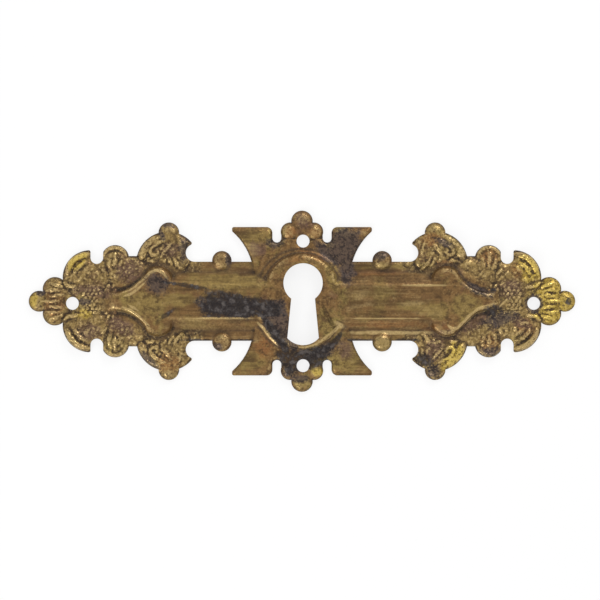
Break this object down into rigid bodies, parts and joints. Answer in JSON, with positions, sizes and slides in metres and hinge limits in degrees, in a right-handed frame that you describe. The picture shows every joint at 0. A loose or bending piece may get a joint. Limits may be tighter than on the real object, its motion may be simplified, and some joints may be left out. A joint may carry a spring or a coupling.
{
  "type": "keyhole escutcheon",
  "caption": "Pressed brass keyhole escutcheon: a bevelled bar with spade ends, an oval boss round the keyhole, beads and curled leaves, nailed flat over a cabinet lock.",
  "frame": {"origin": "middle of the plate's back plane, under the centre of the struck form", "axes": "+X along the bar, +Y across it towards the round end of the keyhole, +Z out of the front"},
  "size_m": [0.1016, 0.0338, 0.003],
  "materials": {
    "aged_brass": "aged, with dark tarnish in the hollows and bright wear on the high spots"
  },
  "bodies": {
    "root": {"escutcheon_plate": "aged_brass"}
  },
  "joints": []
}
